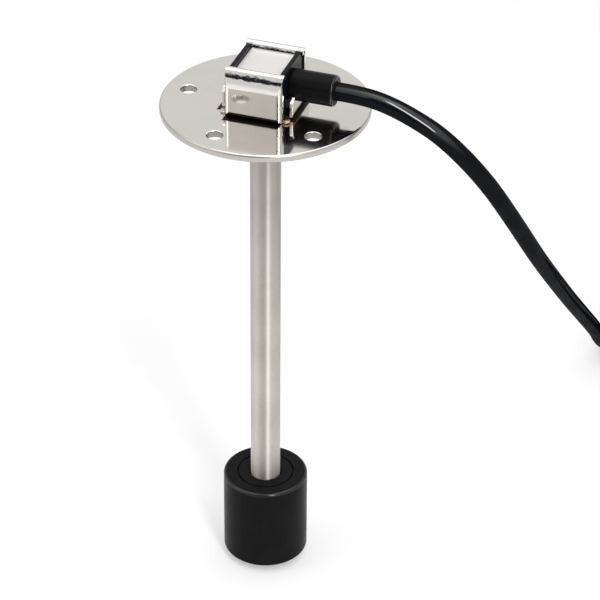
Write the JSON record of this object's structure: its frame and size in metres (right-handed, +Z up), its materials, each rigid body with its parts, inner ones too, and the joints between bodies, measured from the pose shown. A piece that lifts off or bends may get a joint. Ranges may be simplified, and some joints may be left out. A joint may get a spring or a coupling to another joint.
{
  "type": "reed fuel sender",
  "caption": "Tank level sender: round bolt-on flange with a boxed head and cable, a reed switch stem below it and a black float that slides along the stem.",
  "frame": {"origin": "centre of the five-hole circle on the underside of the flange", "axes": "+Z up through the head, so the stem and float point along -Z; +X is the side that the cable leaves"},
  "size_m": [0.1971, 0.2591, 0.2033],
  "materials": {
    "polished_steel": "polished stainless steel",
    "satin_steel": "satin stainless steel",
    "spring_steel": "plain spring steel",
    "weld_metal": "weld bead",
    "tinted_weld": "tack weld with a copper-brown heat tint",
    "plate_metal": "matt metal plate",
    "black_plastic": "moulded black plastic",
    "black_sleeve": "black moulded sleeve",
    "cable_jacket": "smooth black jacket",
    "float_foam": "satin black closed foam",
    "ferrite": "ferrite magnet",
    "resin": "cast resin",
    "circuit_board": "glass-filled board",
    "reed_glass": "green tinted glass",
    "resistor_body": "lacquered",
    "core_red": "red insulation",
    "core_black": "black insulation",
    "copper": "bare copper strand"
  },
  "bodies": {
    "sender": {"bracket_weld_1": "tinted_weld", "bracket_weld_2": "tinted_weld", "bracket_weld_3": "tinted_weld", "bracket_weld_4": "tinted_weld", "cable_coil": "cable_jacket", "cable_gland": "black_sleeve", "cable_run": "cable_jacket", "cable_stub": "cable_jacket", "circuit_strip": "circuit_board", "core_wire_1": "core_red", "core_wire_2": "core_black", "flange": "polished_steel", "head_bracket": "polished_steel", "head_housing": "black_plastic", "head_plate": "plate_metal", "lead_end_1": "core_red", "lead_end_2": "core_black", "lead_tip_1": "copper", "lead_tip_2": "copper", "lower_stop_ring": "spring_steel", "potting": "resin", "reed_switch_01": "reed_glass", "reed_switch_02": "reed_glass", "reed_switch_03": "reed_glass", "reed_switch_04": "reed_glass", "reed_switch_05": "reed_glass", "reed_switch_06": "reed_glass", "reed_switch_07": "reed_glass", "reed_switch_08": "reed_glass", "reed_switch_09": "reed_glass", "reed_switch_10": "reed_glass", "reed_switch_11": "reed_glass", "reed_switch_12": "reed_glass", "resistor_01": "resistor_body", "resistor_02": "resistor_body", "resistor_03": "resistor_body", "resistor_04": "resistor_body", "resistor_05": "resistor_body", "resistor_06": "resistor_body", "resistor_07": "resistor_body", "resistor_08": "resistor_body", "resistor_09": "resistor_body", "resistor_10": "resistor_body", "resistor_11": "resistor_body", "resistor_12": "resistor_body", "stem_plug": "satin_steel", "stem_tube": "satin_steel", "stem_weld": "weld_metal", "upper_stop_ring": "spring_steel"},
    "magnet_carrier": {"float_magnet": "ferrite"},
    "float": {"float_body": "float_foam", "float_cap": "float_foam"}
  },
  "joints": [
    {"name": "float_slide", "type": "slide", "parent": "sender", "child": "magnet_carrier", "axis": [0, 0, 1], "range_m": [0, 0.1344]},
    {"name": "float_spin", "type": "hinge", "parent": "magnet_carrier", "child": "float", "pos_m": [0, 0, -0.15], "axis": [0, 0, 1], "continuous": true}
  ]
}
